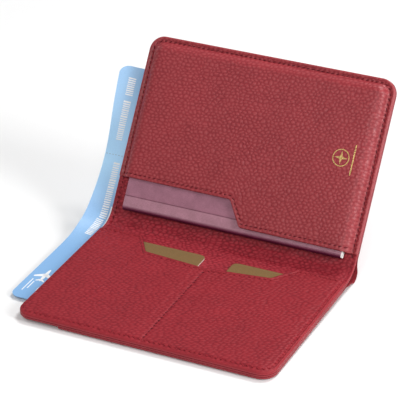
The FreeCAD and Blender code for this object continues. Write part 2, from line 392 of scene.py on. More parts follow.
def far_edge(xs, length=LENGTH, left=0.0, right=WIDTH, corner=CORNER):
    """Where each column meets the rounded free edge."""
    gap = np.clip(corner - np.minimum(xs - left, right - xs), 0, corner)
    return length - corner + np.sqrt(corner ** 2 - gap ** 2)


def nearest(values, wanted):
    """Indices of the values nearest to the wanted ones, with both ends."""
    found = {0, len(values) - 1}
    found.update(int(np.argmin(np.abs(values - w))) for w in wanted)
    return sorted(found)


def signed_volume(points, faces):
    total = 0.0
    for face in faces:
        corners = points[face]
        total += np.einsum("ij,ij->", np.cross(corners[1:-1], corners[2:]),
                           np.broadcast_to(corners[0], (len(face) - 2, 3)))
    return total


def make_object(name, flat, place, quads, polygons, grain=None, material=None):
    """A mesh from flat points, with its flat places and grain kept as attributes."""
    points = place(flat[:, 0], flat[:, 1], flat[:, 2])
    centred = points - points.mean(0)
    volume = signed_volume(centred, polygons)
    if len(quads):
        a, b, c, d = (centred[quads[:, k]] for k in range(4))
        volume += np.sum(np.cross(b, c) * a) + np.sum(np.cross(c, d) * a)
    if volume < 0:
        quads = quads[:, ::-1]
        polygons = [p[::-1] for p in polygons]
    mesh = bpy.data.meshes.new(name)
    mesh.from_pydata(points.tolist(), [], quads.tolist() + [list(p) for p in polygons])
    places = mesh.attributes.new("flat", "FLOAT_VECTOR", "POINT")
    places.data.foreach_set("vector", flat.astype(np.float32).ravel())
    if grain is not None:
        values = mesh.attributes.new("grain", "FLOAT", "POINT")
        values.data.foreach_set("value", grain.astype(np.float32))
    mesh.shade_smooth()
    mesh.set_sharp_from_angle(angle=math.radians(55))
    piece = bpy.data.objects.new(name, mesh)
    bpy.context.scene.collection.objects.link(piece)
    if material is not None:
        mesh.materials.append(material)
    return piece


def slab(name, xs, ys, front, back, place, material, cut_x=(), cut_y=(), grain=None):
    """A closed sheet: a finely divided front, a coarse back divided at the cuts, and walls."""
    n, m = ys.shape
    across = np.repeat(xs[:, None], m, 1)
    value = np.ones((n, m)) if grain is None else grain(across, ys)
    top = np.stack([across, ys, front(across, ys, value) + np.zeros((n, m))], -1)
    low = np.stack([across, ys, back(across, ys) + np.zeros((n, m))], -1)
    columns = nearest(xs, cut_x)
    lines = nearest(ys[n // 2], cut_y)
    kept = np.zeros((n, m), bool)
    kept[[0, -1]] = True
    kept[:, [0, -1]] = True
    kept[np.ix_(columns, lines)] = True
    under = np.full((n, m), -1)
    under[kept] = n * m + np.arange(kept.sum())
    over = np.arange(n * m).reshape(n, m)
    squares = np.stack([over[:-1, :-1], over[1:, :-1], over[1:, 1:], over[:-1, 1:]], -1)
    loop = ([(i, 0) for i in range(n - 1)] + [(n - 1, j) for j in range(m - 1)]
            + [(i, m - 1) for i in range(n - 1, 0, -1)] + [(0, j) for j in range(m - 1, 0, -1)])
    ring = np.array(loop)
    here = ring[:, 0], ring[:, 1]
    there = np.roll(ring[:, 0], -1), np.roll(ring[:, 1], -1)
    walls = np.stack([over[there], over[here], under[here], under[there]], -1)
    quads = np.concatenate([squares.reshape(-1, 4), walls])
    polygons = []
    for a, b in zip(columns[:-1], columns[1:]):
        for c, d in zip(lines[:-1], lines[1:]):
            bottom = range(a, b) if c == 0 else [a]
            right = range(c, d) if b == n - 1 else [c]
            top_side = range(b, a, -1) if d == m - 1 else [b]
            left = range(d, c, -1) if a == 0 else [d]
            cell = ([under[i, c] for i in bottom] + [under[b, j] for j in right]
                    + [under[i, d] for i in top_side] + [under[a, j] for j in left])
            polygons.append([int(k) for k in cell[::-1]])
    flat = np.concatenate([top.reshape(-1, 3), low[kept]])
    all_grain = None
    if grain is not None:
        all_grain = np.concatenate([value.ravel(), np.full(kept.sum(), 0.9)])
    return make_object(name, flat, place, quads, polygons, all_grain, material)


def prism(outline, low, high):
    """Flat points, quads and polygons of a shape with straight walls."""
    count = len(outline)
    outline = np.array(outline, float)
    flat = np.concatenate([np.column_stack([outline, np.full(count, low)]),
                           np.column_stack([outline, np.full(count, high)])])
    ring = np.arange(count)
    after = np.roll(ring, -1)
    quads = np.stack([ring, after, after + count, ring + count], -1)
    polygons = [list(ring[::-1]), list(ring + count)]
    return flat, quads, polygons


def join(parts):
    """Flat points, quads and polygons of several shapes as one."""
    flats, quads, polygons, base = [], [], [], 0
    for flat, quad, polygon in parts:
        flats.append(flat)
        quads.append(quad + base)
        polygons += [[int(k) + base for k in p] for p in polygon]
        base += len(flat)
    return np.concatenate(flats), np.concatenate(quads), polygons


# ---- materials ----
class Nodes:
    """A procedural material being built."""

    def __init__(self, name, rough, colour):
        self.material = bpy.data.materials.new(name)
        self.material.use_nodes = True
        self.tree = self.material.node_tree
        self.shader = self.tree.nodes["Principled BSDF"]
        self.shader.inputs["Roughness"].default_value = rough
        self.shader.inputs["Base Color"].default_value = (*colour, 1)

    def feed(self, node, key, value):
        """Give a node's input a number, a colour or the output of another node."""
        if isinstance(value, bpy.types.NodeSocket):
            self.tree.links.new(value, node.inputs[key])
        else:
            node.inputs[key].default_value = value

    def add(self, kind, inputs=None, **settings):
        node = self.tree.nodes.new(kind)
        for key, value in settings.items():
            setattr(node, key, value)
        for key, value in (inputs or {}).items():
            self.feed(node, key, value)
        return node

    def flat(self):
        return self.add("ShaderNodeAttribute", attribute_name="flat").outputs["Vector"]

    def grain(self):
        return self.add("ShaderNodeAttribute", attribute_name="grain").outputs["Fac"]

    def axis(self, name):
        return self.add("ShaderNodeSeparateXYZ", {"Vector": self.flat()}).outputs[name]

    def noise(self, scale, detail=3.0, rough=0.55, stretch=(1, 1, 1)):
        mapping = self.add("ShaderNodeMapping", {"Scale": stretch, "Vector": self.flat()})
        inputs = {"Scale": scale, "Detail": detail, "Roughness": rough,
                  "Vector": mapping.outputs["Vector"]}
        return self.add("ShaderNodeTexNoise", inputs).outputs["Fac"]

    def ramp(self, value, stops):
        node = self.add("ShaderNodeValToRGB", {"Fac": value})
        elements = node.color_ramp.elements
        while len(elements) < len(stops):
            elements.new(0.5)
        for element, (place, colour) in zip(elements, stops):
            element.position = place
            element.color = (*colour, 1) if len(colour) == 3 else (*colour * 3, 1)
        return node.outputs["Color"]

    def mix(self, share, first, second, blend="MIX"):
        values = [(*v, 1) if isinstance(v, tuple) else v for v in (share, first, second)]
        sockets = dict(zip((0, 6, 7), values))      # the factor and the two colours
        return self.add("ShaderNodeMix", sockets, data_type="RGBA", blend_type=blend).outputs[2]

    def math(self, operation, first, second=0.0):
        return self.add("ShaderNodeMath", {0: first, 1: second}, operation=operation).outputs[0]

    def bump(self, height, distance, strength=1.0):
        """Add a bump on top of those already there; distance in mm."""
        inputs = {"Strength": strength, "Distance": distance * MM, "Height": height}
        normal = self.shader.inputs["Normal"]
        if normal.is_linked:
            inputs["Normal"] = normal.links[0].from_socket
        self.feed(self.shader, "Normal", self.add("ShaderNodeBump", inputs).outputs["Normal"])

    def colour(self, output):
        self.feed(self.shader, "Base Color", output)

    def roughness(self, output):
        self.feed(self.shader, "Roughness", output)


def leather(name, dark, middle, pebble_highlight, rough, gloss):
    """Grained leather: creases darkened as painted shade, pebble tops lightened as painted
    highlight, fine pores, and slow changes of colour.
    """
    m = Nodes(name, rough, middle)
    # Colour by grain: painted shade in the creases, painted highlight on the pebble tops.
    grain_shade_and_highlight = m.ramp(m.grain(), [(0.0, dark), (0.5, middle), (1.0, pebble_highlight)])
    slow = m.ramp(m.noise(0.05, 3), [(0.3, (0.93,)), (0.7, (1.05,))])
    speck = m.ramp(m.noise(2.4, 2), [(0.3, (0.9,)), (0.7, (1.07,))])
    m.colour(m.mix(1.0, m.mix(1.0, grain_shade_and_highlight, slow, "MULTIPLY"), speck, "MULTIPLY"))
    worn = m.math("MULTIPLY", m.grain(), -0.10)
    varied = m.math("MULTIPLY", m.noise(0.35, 3), 0.14)
    m.roughness(m.math("ADD", m.math("ADD", worn, varied), rough))
    m.bump(m.noise(1.5, 4, 0.6), 0.10, 0.55)
    m.bump(m.noise(6.0, 2), 0.03, 0.5)
    m.shader.inputs["Specular IOR Level"].default_value = gloss
    return m.material


def thread_material(name, colour):
    m = Nodes(name, 0.8, colour)
    m.shader.inputs["Specular IOR Level"].default_value = 0.2
    m.colour(m.ramp(m.noise(3.0, 3), [(0.3, tuple(0.65 * c for c in colour)), (0.7, colour)]))
    m.bump(m.noise(5.0, 2, stretch=(1, 1, 3)), 0.06, 0.8)
    return m.material


def matt_material(name, rough, dark, pale, scale):
    """A plain matt sheet with fine fibres, for the parts that lie inside."""
    m = Nodes(name, rough, pale)
    place = m.add("ShaderNodeTexCoord").outputs["Object"]
    fibres = m.add("ShaderNodeTexNoise", {"Scale": scale, "Vector": place}).outputs["Fac"]
    m.colour(m.ramp(fibres, [(0.3, dark), (0.7, pale)]))
    m.bump(fibres, 0.05)
    return m.material


def cover_material():
    """Plum book cloth with fine threads across it. Its spine is its own darker colour plus painted
    shade where the curve turns down, painted shading lightens up the curve to a pale band, and
    painted shade darkens the hinge groove.
    """
    m = Nodes("book_cloth", 0.5, (0.36, 0.16, 0.21))
    half = 20.0
    zone = m.math("DIVIDE", m.math("ADD", m.axis("Y"), half), 2 * half)
    plum = (0.345, 0.148, 0.205)
    pale = (0.405, 0.195, 0.25)
    spine = (0.075, 0.0015, 0.024)
    fold = COVER_BEND + PASSPORT_GROOVE - PASSPORT_START - COVER_RADIUS
    # Along the spine: own darker colour with painted shade, painted shading lighter up the curve to
    # a pale band, a painted shade line in the hinge groove.
    stops = [(-4.0, plum), (-3.2, spine), (1.4, spine), (2.0, (0.14, 0.018, 0.05)),
             (2.6, (0.25, 0.09, 0.135)), (3.3, pale), (fold - 0.4, pale),
             (fold, (0.13, 0.03, 0.055)), (fold + 0.4, plum)]
    tone_and_shade = m.ramp(zone, [(0.5 + run / (2 * half), colour) for run, colour in stops])
    threads = m.noise(4.0, 3, stretch=(0.25, 3.0, 1))
    cloth = m.ramp(threads, [(0.3, (0.74,)), (0.7, (1.2,))])
    cloudy = m.ramp(m.noise(0.16, 4), [(0.3, (0.86,)), (0.7, (1.1,))])
    m.colour(m.mix(1.0, m.mix(1.0, tone_and_shade, cloth, "MULTIPLY"), cloudy, "MULTIPLY"))
    m.shader.inputs["Specular IOR Level"].default_value = 0.3
    m.bump(threads, 0.12, 0.9)
    m.bump(m.noise(2.2, 4), 0.05, 0.5)
    return m.material


def paper_material():
    """The pages: off-white, with the lines of their cut edges."""
    m = Nodes("page_edges", 0.75, (0.88, 0.87, 0.84))
    inputs = {"Scale": 2.2, "Distortion": 0.6, "Vector": m.flat()}
    lines = m.add("ShaderNodeTexWave", inputs, bands_direction="Z").outputs["Fac"]
    m.colour(m.ramp(lines, [(0.1, (0.7, 0.68, 0.66)), (0.5, (0.9, 0.89, 0.87))]))
    m.bump(lines, 0.04)
    m.bump(m.noise(3.0, 2), 0.02)
    return m.material


def card_material():
    """Gold printed plastic with a pale core at its edge and a fine line round its face."""
    m = Nodes("gold_card", 0.38, (0.26, 0.15, 0.05))
    fine = m.ramp(m.noise(5.0, 2), [(0.35, (0.20, 0.125, 0.045)), (0.65, (0.27, 0.175, 0.07))])
    middle = sum(CARD_LEVELS) / 2
    from_middle = m.math("ABSOLUTE", m.math("SUBTRACT", m.axis("Z"), middle))
    core = m.ramp(from_middle, [(0.25, (1.0,)), (0.29, (0.0,))])
    inset = m.math("ABSOLUTE", m.math("SUBTRACT", m.axis("Y"), CARD_START + 1.15))
    line = m.ramp(inset, [(0.0, (0.55,)), (0.14, (0.0,))])
    lined = m.mix(line, fine, (0.36, 0.27, 0.13))
    m.colour(m.mix(core, lined, (0.80, 0.66, 0.66)))
    m.bump(m.noise(3.0, 3), 0.01, 0.4)
    m.shader.inputs["Metallic"].default_value = 0.35
    return m.material


def pass_material(name, near_tint, far_tint):
    """Printed thin card: a coloured band along its left side and white beyond; the band's tint
    changes along the pass as painted light and shade of the bent card.
    """
    m = Nodes(name, 0.5, far_tint)
    band = m.math("LESS_THAN", m.axis("X"), PASS_BAND)
    along = m.math("DIVIDE", m.axis("Y"), LENGTH)
    # Painted light and shade: the tint changes from the fold through the near tint to the far tint,
    # as the bent pass would be lit.
    tint_and_painted_light = m.ramp(along, [(0.0, (0.27, 0.47, 0.73)), (0.25, near_tint), (0.75, far_tint)])
    fibres = m.ramp(m.noise(1.2, 4), [(0.3, (0.965,)), (0.7, (1.02,))])
    printed = m.mix(1.0, tint_and_painted_light, fibres, "MULTIPLY")
    m.colour(m.mix(band, (0.88, 0.89, 0.90), printed))
    m.bump(m.noise(3.0, 3), 0.015, 0.5)
    return m.material


def ink_material(name, colour):
    m = Nodes(name, 0.5, colour)
    m.colour(m.ramp(m.noise(3.0, 3), [(0.25, tuple(0.93 * c for c in colour)), (0.7, colour)]))
    m.bump(m.noise(4.0, 2), 0.01, 0.4)
    return m.material


def foil_material():
    """Gold foil, a little broken where the grain lies under it."""
    m = Nodes("gold_foil", 0.3, (0.85, 0.58, 0.2))
    m.colour(m.ramp(m.noise(1.6, 4), [(0.3, (0.55, 0.30, 0.07)), (0.6, (0.92, 0.68, 0.28))]))
    m.roughness(m.ramp(m.noise(2.5, 2), [(0.3, (0.22,)), (0.7, (0.42,))]))
    m.bump(m.noise(1.8, 3), 0.05, 0.6)
    m.shader.inputs["Metallic"].default_value = 0.85
    return m.material


def settle(piece, body, node):
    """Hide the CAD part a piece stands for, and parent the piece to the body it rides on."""
    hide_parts(node)
    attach(piece, body)
    return piece


# ---- leather pieces ----
# Each grain's size in mm, seed, stretch along its rows and lean of the rows.
INSIDE_GRAIN = (1.6, 3, 1.9, 0.05)
OUTSIDE_GRAIN = (2.1, 11, 1.2, 0.5)
CARD_GRAIN = (1.75, 21, 1.75, -0.44)
PASSPORT_GRAIN = (1.75, 31, 1.45, 0.05)
# How deep its creases are, in mm.
INSIDE_DEPTH = 0.22
SHELL_DEPTH = 0.16
SLIP_DEPTH = 0.17
CARD_DEPTH = 0.25
PASSPORT_DEPTH = 0.22
CUT_BACK = 0.3                       # how far in the hidden side of an edge is cut back
FOLD_CUTS = np.arange(-6, 1.1, 1.0)  # rows of the coarse side of a sheet where it bends


def spine_folds(x, y):
    """Soft creases along the spine, where the leather is squeezed."""
    near = groove(y + 3, 6.5)
    waves = noise(x, y * 5.5, 16.0, 41) - 0.5 + 0.6 * (noise(x, y * 3.5, 5.5, 42) - 0.5)
    return near * np.clip(0.65 * waves - 0.2, -0.5, -0.06)


def facing_front(x, y, grain):
    edge = panel_edge(x, y)
    near = smooth(40, 28, y)
    creases = smooth(0.3, 1.6, edge) * INSIDE_DEPTH * (grain - 1)
    return (near * creases - near * rounded(edge, 0.35) - 0.12 * groove(edge - CARD_STITCH, 0.4)
            + spine_folds(x, y) * smooth(0.5, 3, edge))


def with_highlit_lip(x, y, grain):
    """Grain raised to its top value along a panel's edge, which smooths the creases there and gives
    the edge's bead the lightest colour as a painted highlight.
    """
    return np.maximum(grain, 0.85 * smooth(1.1, 0.4, panel_edge(x, y)))


def facing_grain(x, y):
    return with_highlit_lip(x, y, pebbles(x, y, *INSIDE_GRAIN))


def panel_rows(xs, fine_until, coarse):
    """Rows from the middle of the spine to the free edge, fine at first and coarse beyond."""
    first = -HALF_SPINE + EDGE_STEPS[-1]
    last = LENGTH - EDGE_STEPS[-1]
    fine = np.arange(first, fine_until, GRID)
    places = np.concatenate([fine, np.arange(fine_until, last, coarse), [last]])
    return rows(np.full(len(xs), -HALF_SPINE), far_edge(xs), 0, NO_STEPS, EDGE_STEPS,
                (places - first) / (last - first))


def facing_back(x, y):
    """Cut back along its edge, which leaves a dark line between the two layers."""
    return np.where(panel_edge(x, y) < CUT_BACK, -0.6, -FACING)


def facing_piece(side):
    xs = spaced(0, WIDTH, GRID)
    piece = slab(side.label + "_facing_leather", xs, panel_rows(xs, 30, 3.0), facing_front,
                 facing_back, side.place, LEATHER_INSIDE, [0.6, WIDTH - 0.6],
                 [*FOLD_CUTS, LENGTH - 0.6], facing_grain)
    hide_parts(side.label + "_facing")
    side.bend(piece, side.body, "spine")
    return piece


def outside_grain(x, y):
    return with_highlit_lip(x, y, pebbles(x, y, *OUTSIDE_GRAIN))


def shell_outside(x, y):
    edge = panel_edge(x, y)
    level = SPINE_SHELL_OUTSIDE + (SHELL_OUTSIDE - SPINE_SHELL_OUTSIDE) * smooth(-2.5, 3, y)
    return level + rounded(edge, 0.45) + 0.15 * groove(edge - CARD_STITCH, 0.4)


def shell_front(x, y, grain):
    return shell_outside(x, y) + SHELL_DEPTH * (1 - grain) * smooth(0.3, 1.6, panel_edge(x, y))


def shell_back(x, y):
    edge = panel_edge(x, y)
    inner = (edge > TURNED_EDGE) & (y > TURNED_EDGE)
    return np.where(inner, BOARD_BOTTOM, np.where(edge < CUT_BACK, -1.0, SHELL_TOP))


def shell_piece(side):
    fine = spaced(0, SLIP_LEFT + 4, GRID)[:-len(EDGE_STEPS)]
    coarse = spaced(SLIP_LEFT + 4, WIDTH, 1.6)[len(EDGE_STEPS):]
    xs = np.concatenate([fine, coarse])
    cut_x = [0.6, TURNED_EDGE - 0.5, TURNED_EDGE + 0.5, WIDTH - TURNED_EDGE - 0.8,
             WIDTH - TURNED_EDGE + 0.8, WIDTH - 0.6]
    cut_y = [*FOLD_CUTS, TURNED_EDGE - 0.3, TURNED_EDGE + 0.3,
             LENGTH - TURNED_EDGE - 0.8, LENGTH - TURNED_EDGE + 0.8, LENGTH - 0.6]
    piece = slab(side.label + "_shell_leather", xs, panel_rows(xs, LENGTH - 2, 1.0), shell_front,
                 shell_back, side.place, LEATHER_OUTSIDE, cut_x, cut_y, outside_grain)
    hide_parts(side.label + "_outer_shell")
    side.bend(piece, side.body, "spine")
    return piece


def slip_edge(x, y):
    return np.minimum(panel_edge(x, y), x - SLIP_LEFT)


def slip_outside(x, y):
    edge = slip_edge(x, y)
    stitched = panel_edge(x, y)
    press = 0.35 * (1 - smooth(2.6, 4.6, stitched))
    hem = groove(x - SLIP_LEFT - HEM, 0.5)
    soft = 0.35 * (noise(x, y, 26, 61) - 0.5) * smooth(3, 10, stitched)
    return (SLIP_OUTSIDE + rounded(edge, 0.45) + press + 0.15 * groove(stitched - CARD_STITCH, 0.4)
            + 0.1 * hem + np.maximum(soft, -0.12))


def slip_front(x, y, grain):
    return slip_outside(x, y) + SLIP_DEPTH * (1 - grain) * smooth(0.3, 1.6, slip_edge(x, y))


def slip_back(x, y):
    rim = (x > WIDTH - TURNED_EDGE) | (y > LENGTH - TURNED_EDGE)
    return np.where(rim & (y > LOOP_LEAVES), SHELL_OUTSIDE - 0.02, SLIP_INSIDE)


def slip_piece(side):
    start = LOOP_LEAVES - loop_length(side)
    xs = spaced(SLIP_LEFT, WIDTH, GRID)
    count = round((LENGTH - start) / GRID)
    ys = rows(np.full(len(xs), start), far_edge(xs), count, NO_STEPS, EDGE_STEPS)
    cut_x = [WIDTH - TURNED_EDGE - 0.6, WIDTH - TURNED_EDGE + 0.6]
    cut_y = [*np.arange(start, LOOP_LEAVES, 0.7), LOOP_LEAVES + 0.5,
             LENGTH - TURNED_EDGE - 0.6, LENGTH - TURNED_EDGE + 0.6]
    piece = slab(side.label + "_slip_pocket_leather", xs, ys, slip_front, slip_back,
                 loop_place(side), LEATHER_OUTSIDE, cut_x, cut_y, outside_grain)
    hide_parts(side.label + "_slip_pocket")
    side.bend_loop(piece)
    return piece


def on_card(x, y):
    """1 over a card in its pocket and 0 beside it, with a soft step."""
    cover = np.zeros(np.shape(x))
    for left in CARD_LEFTS:
        inside = np.minimum(np.minimum(x - left, left + CARD_SIZE[0] - x),
                            np.minimum(y - CARD_START, CARD_START + CARD_SIZE[1] - y))
        cover = np.maximum(cover, smooth(-1.6, 0.4, inside))
    return cover


def card_top(x, y):
    edge = panel_edge(x, y)
    mouth = line_distance(x, y, CARD_LINE)
    seam = groove(x - SEAM_X, 0.75) * smooth(SEAM_START - 1, SEAM_START + 3, y)
    right = smooth(WIDTH - 6, WIDTH - 3, x) * smooth(CORNER - 4, CORNER + 4, LENGTH - y)
    hem = 0.2 * groove(mouth - 1.1, 0.5) - 0.3 * groove(mouth - HEM, 0.5)
    return (CARD_TOP - rounded(edge, 0.7) - rounded(mouth, 0.4) - 1.1 * (1 - smooth(0.5, 3.0, edge))
            - 0.14 * (1 - on_card(x, y)) - 0.3 * seam - 0.25 * groove(edge - CARD_STITCH, 0.45)
            + 0.22 * groove(edge - 0.9, 0.5) - 0.4 * right * groove(edge - 1.6, 0.35)
            + hem * smooth(2.4, 6, edge))


def card_front(x, y, grain):
    return card_top(x, y) + CARD_DEPTH * (grain - 1) * away_from_edges(x, y, CARD_LINE)


def card_grain(x, y):
    """Grain of the card pocket, darkened along its mouth as painted shade for the dark line at the
    mouth's edge.
    """
    # Painted shade: a dark line along the pocket's mouth.
    painted_mouth_shade = smooth(0.15, 0.8, line_distance(x, y, CARD_LINE))
    return with_highlit_lip(x, y, pebbles(x, y, *CARD_GRAIN)) * painted_mouth_shade


def card_back(x, y):
    edge = panel_edge(x, y)
    room = (edge > CARD_RIM - CUT_BACK) & (np.abs(x - SEAM_X) > 0.9)
    return np.where(room, np.minimum(CARD_CEILING, card_top(x, y) - 0.35), 0.0)


def card_pocket_piece():
    xs = spaced(0, WIDTH, GRID)
    starts = mouth_at(CARD_LINE, xs)
    ys = rows(starts, far_edge(xs), round((LENGTH - 8) / GRID))
    rim = np.array([CARD_RIM - 0.7, CARD_RIM, 4.0, 6.2])
    cut_x = [*rim, *(WIDTH - rim), *(SEAM_X + np.array([-1.2, -0.6, 0.6, 1.2]))]
    cut_y = LENGTH - rim
    piece = slab("card_pocket_leather", xs, ys, card_front, card_back, lower.place,
                 LEATHER_CARDS, cut_x, cut_y, card_grain)
    return settle(piece, "card_side", "card_pocket")


def card_lining_piece(label, left, right):
    """Cloth on the inside of the card pocket, over one of its two rooms."""
    xs = spaced(left, right, 3.0)
    starts = mouth_at(CARD_LINE, xs) + 0.8
    ys = rows(starts, np.full(len(xs), LENGTH - CARD_RIM - 0.6), 25)
    piece = slab("card_pocket_cloth_" + label, xs, ys, lambda x, y, g: CARD_CEILING - 0.01,
                 lambda x, y: CARD_CEILING - LINING, lower.place, LINING_CLOTH)
    return settle(piece, "card_side", "card_pocket_lining")


def puff(x, y):
    """From 0 on the stitched flange to 1 on top of the passport pocket."""
    left, right, top = PUFF_EASE
    dx = np.minimum((x - PUFF_FOOT) * left, (WIDTH - x - PUFF_FOOT) * right)
    inside = corner_distance(dx, (LENGTH - y - PUFF_FOOT) * top, 5.0)
    share = np.clip(inside / PUFF_SLOPE, 0, 1)
    return (1 - (1 - share) ** 2.6) * smooth(-0.12, 0.22, share)


def passport_level(x, y):
    return FLANGE + (PUFF_TOP - FLANGE) * puff(x, y)


def passport_top(x, y):
    edge = panel_edge(x, y)
    mouth = line_distance(x, y, PASSPORT_LINE)
    high = puff(x, y)
    sag = 0.35 * noise(x, y, 30, 71) * smooth(0.6, 1.0, high)
    wrinkles = noise(x * 0.4, y, 2.6, 72) * smooth(0.05, 0.5, high)
    wrinkles = wrinkles * smooth(WIDTH - 13, WIDTH - 6, x)
    return (passport_level(x, y) - sag - 0.3 * wrinkles - rounded(edge, 0.5) - rounded(mouth, 0.45)
            - 0.2 * groove(edge - PASSPORT_STITCH, 0.5) + 0.2 * groove(edge - 0.9, 0.5)
            - 0.14 * groove(mouth - HEM, 0.45) * smooth(3, 7, edge))


def pressed(x, y):
    """Grain is pressed flat under the foil mark."""
    return 1 - 0.6 * smooth(MARK_RADIUS + 2.5, MARK_RADIUS, np.hypot(x - MARK[0], y - MARK[1]))


def passport_front(x, y, grain):
    creases = PASSPORT_DEPTH * (grain - 1) * away_from_edges(x, y, PASSPORT_LINE)
    return passport_top(x, y) + creases * pressed(x, y)


def passport_grain(x, y):
    return with_highlit_lip(x, y, pebbles(x, y, *PASSPORT_GRAIN))


def passport_back(x, y):
    return np.maximum(passport_level(x, y) - PUFF_LEATHER, 0.0)


def passport_pocket_piece():
    xs = spaced(0, WIDTH, GRID)
    starts = mouth_at(PASSPORT_LINE, xs)
    ys = rows(starts, far_edge(xs), round((LENGTH - 10) / GRID))
    slope = np.array([2.6, 3.1, 3.7, 4.5, 5.4, 6.5, 8.5])
    piece = slab("passport_pocket_leather", xs, ys, passport_front, passport_back, upper.place,
                 LEATHER_PASSPORT, [*slope, *(WIDTH - 1.25 * slope + 0.7)],
                 [60, 75, *(LENGTH - slope)], passport_grain)
    return settle(piece, "passport_side", "passport_pocket")


def passport_lining_piece():
    xs = spaced(7.2, WIDTH - 9.0, 2.0)
    starts = mouth_at(PASSPORT_LINE, xs) + 0.7
    ys = rows(starts, np.full(len(xs), LENGTH - 7.4), 40)
    piece = slab("passport_pocket_cloth", xs, ys, lambda x, y, g: passport_back(x, y) - 0.02,
                 lambda x, y: passport_back(x, y) - LINING, upper.place, LINING_CLOTH,
                 cut_x=np.arange(12, 130, 12), cut_y=np.arange(20, 90, 10))
    return settle(piece, "passport_side", "passport_pocket_lining")


# ---- stitching ----
STITCH = 2.75                        # from one stitch to the next
STITCH_HALF = 0.34 * STITCH
STITCH_SLANT = 0.34                  # how far its ends lie to either side of the line
STITCH_RADIUS = 0.24


def along_line(points, run, places):
    """Flat points at these places along a line whose points are at these runs."""
    return np.stack([np.interp(places, run, points[:, k]) for k in (0, 1)], -1)


def stitch_line(points, surface, outward):
    """Slanted stitches along a line of flat points, each dipping into the leather at its ends."""
    points = np.array(points, float)
    steps = np.hypot(*np.diff(points, axis=0).T)
    run = np.concatenate([[0], np.cumsum(steps)])
    count = max(1, round(run[-1] / STITCH))
    middle = (np.arange(count) + 0.5) * run[-1] / count
    stations = np.linspace(-1, 1, 6)
    turns = np.arange(6) * math.pi / 3
    along = along_line(points, run, middle + 0.4) - along_line(points, run, middle - 0.4)
    along = along / np.linalg.norm(along, axis=1)[:, None]
    side = np.stack([-along[:, 1], along[:, 0]], -1)
    reach = STITCH_HALF * along + STITCH_SLANT * side
    centre = along_line(points, run, middle)[:, None] + stations[None, :, None] * reach[:, None]
    level = surface(centre[..., 0], centre[..., 1])
    level = level + outward * (0.06 - 0.3 * stations ** 2)
    radius = STITCH_RADIUS * np.sqrt(1 - 0.8 * stations ** 2)
    spread = radius[:, None] * np.cos(turns)
    rise = radius[:, None] * np.sin(turns)
    flat = np.empty((count, 6, 6, 3))
    flat[..., :2] = centre[:, :, None] + spread[None, ..., None] * side[:, None, None]
    flat[..., 2] = level[:, :, None] + rise[None]
    index = np.arange(count * 36).reshape(count, 6, 6)
    around = np.roll(index, -1, axis=2)
    quads = np.stack([index[:, :-1], around[:, :-1], around[:, 1:], index[:, 1:]], -1)
    ends = [list(r[0][::-1]) for r in index] + [list(r[-1]) for r in index]
    return flat.reshape(-1, 3), quads.reshape(-1, 4), ends


def rim_line(inset, start, finish):
    """Round a panel at an inset from its edge, from start up the left side and back to finish."""
    radius = CORNER - inset
    turn = np.linspace(0, math.pi / 2, 10)
    ups = LENGTH - CORNER + radius * np.sin(turn)
    left = np.column_stack([CORNER - radius * np.cos(turn), ups])
    right = np.column_stack([WIDTH - left[::-1, 0], ups[::-1]])
    return np.concatenate([[(inset, start)], left, right, [(WIDTH - inset, finish)]])


def hem_line(line, margin):
    """A line beside a pocket's mouth, between the margins."""
    points = []
    for start, end in zip(line[:-1], line[1:]):
        step = (end - start) / np.linalg.norm(end - start)
        across = np.array([-step[1], step[0]]) * HEM
        points += [start + across, end + across]
    points = np.array([p for p in points if margin < p[0] < WIDTH - margin])
    ahead = np.concatenate([[True], np.diff(points[:, 0]) > 0.05])
    ends = [(margin, points[0][1])] + [tuple(p) for p in points[ahead]]
    return ends + [(WIDTH - margin, points[-1][1])]


def rim_level(line, pocket_top):
    """The level of a side's stitched rim: on its pocket, and on the facing before its mouth."""
    return lambda x, y: np.where(y > mouth_at(line, x), pocket_top(x, y), -0.1)


def back_rim(x, y):
    return np.where(x > SLIP_LEFT, slip_outside(x, y), shell_outside(x, y))


def edge_thread(side, inset, surface, material):
    front = stitch_line(rim_line(inset, -HALF_SPINE, 1.5), surface, 1)
    back = stitch_line(rim_line(inset, -HALF_SPINE, LOOP_LEAVES + 1), back_rim, -1)
    flat, quads, ends = join([front, back])
    piece = make_object(side.label + "_edge_stitches", flat, side.place, quads, ends,
                        material=material)
    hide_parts(side.label + "_edge_thread")
    side.bend(piece, side.body, "spine")
    return piece


def flat_thread(name, side, line, surface, node, material):
    flat, quads, ends = stitch_line(line, surface, 1)
    piece = make_object(name, flat, side.place, quads, ends, material=material)
    return settle(piece, side.body, node)


# ---- what the wallet holds ----
def card_piece(name, left, body, node):
    width, length = CARD_SIZE
    xs = spaced(left, left + width, 2.0)
    ends = far_edge(xs, length, left, left + width, CARD_CORNER)
    ys = rows(CARD_START + length - ends, CARD_START + ends, 30)

    def edge(x, y):
        dx = np.minimum(x - left, left + width - x)
        dy = np.minimum(y - CARD_START, CARD_START + length - y)
        return corner_distance(dx, dy, CARD_CORNER)

    piece = slab(name, xs, ys, lambda x, y, g: CARD_LEVELS[1] - rounded(edge(x, y), 0.1),
                 lambda x, y: CARD_LEVELS[0], lower.place, GOLD_CARD)
    return settle(piece, body, node)


def cover_place(x, run, h):
    """Round the passport's spine: run 0 is the middle of the spine, and h is outward."""
    x, run, h = np.broadcast_arrays(x, run, h)
    far = np.abs(run)
    turn = np.clip((far - COVER_STRAIGHT) / COVER_RADIUS, 0, math.pi / 2)
    beyond = np.maximum(far - COVER_BEND, 0)
    start = PASSPORT_START + COVER / 2 + COVER_RADIUS
    y = start + beyond - (COVER_RADIUS + h) * np.cos(turn)
    level = np.minimum(far, COVER_STRAIGHT) + (COVER_RADIUS + h) * np.sin(turn)
    return upper.place(x, y, sum(PASSPORT_LEVELS) / 2 + np.sign(run) * level)


